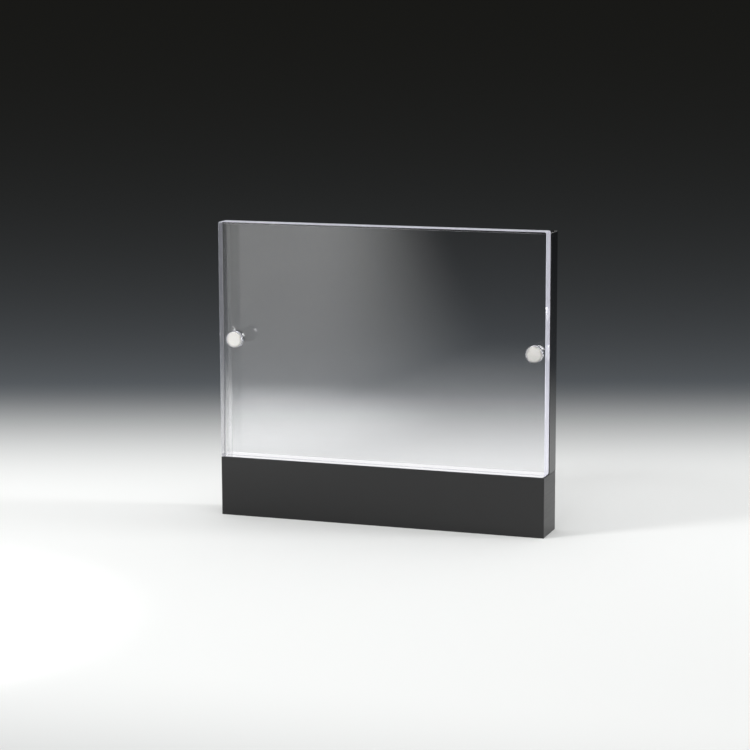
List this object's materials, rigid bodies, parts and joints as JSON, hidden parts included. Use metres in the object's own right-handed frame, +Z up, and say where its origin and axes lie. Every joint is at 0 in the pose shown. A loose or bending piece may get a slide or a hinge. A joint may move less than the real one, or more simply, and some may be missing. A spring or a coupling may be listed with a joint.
{
  "type": "photo frame",
  "caption": "Free-standing acrylic photo frame: a clear cover held by magnets against a clear block with black side bands, on a black plinth.",
  "frame": {"origin": "bottom centre of the plinth", "axes": "+X along the width to the viewer's right, +Y from the front to the back, +Z up"},
  "size_m": [0.17, 0.0216, 0.1502],
  "materials": {
    "black_acrylic": "polished",
    "clear_acrylic": "polished, see-through",
    "nickel_plate": "bright nickel plating"
  },
  "bodies": {
    "stand": {"plinth": "black_acrylic", "rear_block": "clear_acrylic", "left_side_band": "black_acrylic", "right_side_band": "black_acrylic", "block_magnet_left": "nickel_plate", "block_magnet_right": "nickel_plate"},
    "cover": {"front_cover": "clear_acrylic", "cover_magnet_left": "nickel_plate", "cover_magnet_right": "nickel_plate"}
  },
  "joints": [
    {"name": "cover_pull", "type": "slide", "parent": "stand", "child": "cover", "axis": [0, -1, 0], "range_m": [0, 0.04]}
  ]
}
